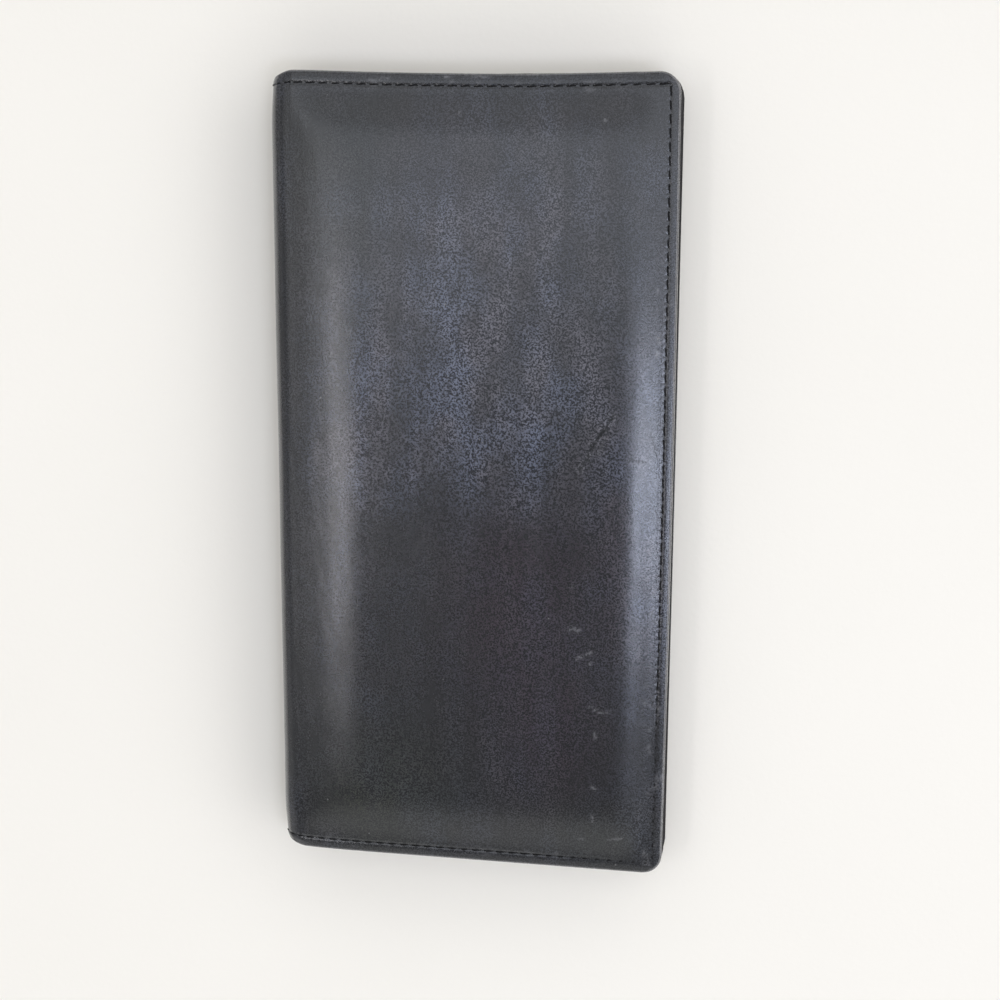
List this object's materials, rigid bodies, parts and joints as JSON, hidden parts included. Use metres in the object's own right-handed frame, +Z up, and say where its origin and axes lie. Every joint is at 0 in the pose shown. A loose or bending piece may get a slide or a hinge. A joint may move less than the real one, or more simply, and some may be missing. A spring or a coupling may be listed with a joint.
{
  "type": "long bifold wallet",
  "caption": "Long bifold wallet in padded black leather that opens flat on a rounded spine, with stepped card slots, a slip pocket, an identity card window and note pockets inside.",
  "frame": {"origin": "centre of the closed wallet's footprint, on the surface that its back half lies on", "axes": "+X from the spine to the open edge, +Y along the spine to the head, +Z up through the closed wallet from the back half to the front half"},
  "size_m": [0.095, 0.186, 0.0136],
  "materials": {
    "cover_leather": "worn semi-gloss smooth grain, black",
    "pocket_leather": "fine grain, satin, black",
    "lining": "matt twill, black",
    "padding": "matt felted foam, grey",
    "thread": "waxed thread, black",
    "film": "clear film"
  },
  "bodies": {
    "back_half": {"back_cover": "cover_leather", "back_padding": "padding", "back_lining": "lining", "back_hem": "cover_leather", "back_pocket_panel": "pocket_leather", "back_rim_thread": "thread", "back_card_slot_1": "pocket_leather", "back_card_slot_2": "pocket_leather", "back_card_slot_3": "pocket_leather", "back_card_slot_4": "pocket_leather", "back_divider_thread": "thread"},
    "spine_strip_1": {"spine_leather_1": "cover_leather", "spine_padding_1": "padding", "spine_lining_1": "lining", "spine_head_thread_1": "thread", "spine_tail_thread_1": "thread"},
    "spine_strip_2": {"spine_leather_2": "cover_leather", "spine_padding_2": "padding", "spine_lining_2": "lining", "spine_head_thread_2": "thread", "spine_tail_thread_2": "thread"},
    "spine_strip_3": {"spine_leather_3": "cover_leather", "spine_padding_3": "padding", "spine_lining_3": "lining", "spine_head_thread_3": "thread", "spine_tail_thread_3": "thread"},
    "front_half": {"front_cover": "cover_leather", "front_padding": "padding", "front_lining": "lining", "front_hem": "cover_leather", "front_pocket_panel": "pocket_leather", "front_rim_thread": "thread", "front_slip_pocket": "pocket_leather", "front_card_slot_1": "pocket_leather", "front_card_slot_2": "pocket_leather", "front_card_slot_3": "pocket_leather", "head_column_thread": "thread", "window_frame": "pocket_leather", "window_film": "film", "tail_column_thread": "thread"}
  },
  "joints": [
    {"name": "spine_fold_1", "type": "hinge", "parent": "back_half", "child": "spine_strip_1", "pos_m": [-0.0416, 0, 0.0009], "axis": [0, -1, 0], "range_deg": [0, 30]},
    {"name": "spine_fold_2", "type": "hinge", "parent": "spine_strip_1", "child": "spine_strip_2", "pos_m": [-0.04671, 0, 0.00385], "axis": [0, -1, 0], "range_deg": [0, 60]},
    {"name": "spine_fold_3", "type": "hinge", "parent": "spine_strip_2", "child": "spine_strip_3", "pos_m": [-0.04671, 0, 0.00975], "axis": [0, -1, 0], "range_deg": [0, 60]},
    {"name": "spine_fold_4", "type": "hinge", "parent": "spine_strip_3", "child": "front_half", "pos_m": [-0.0416, 0, 0.0127], "axis": [0, -1, 0], "range_deg": [0, 30]}
  ],
  "couplings": [
    {"joint": "spine_fold_2", "follows": "spine_fold_1", "ratio": 2},
    {"joint": "spine_fold_3", "follows": "spine_fold_1", "ratio": 2},
    {"joint": "spine_fold_4", "follows": "spine_fold_1", "ratio": 1}
  ]
}
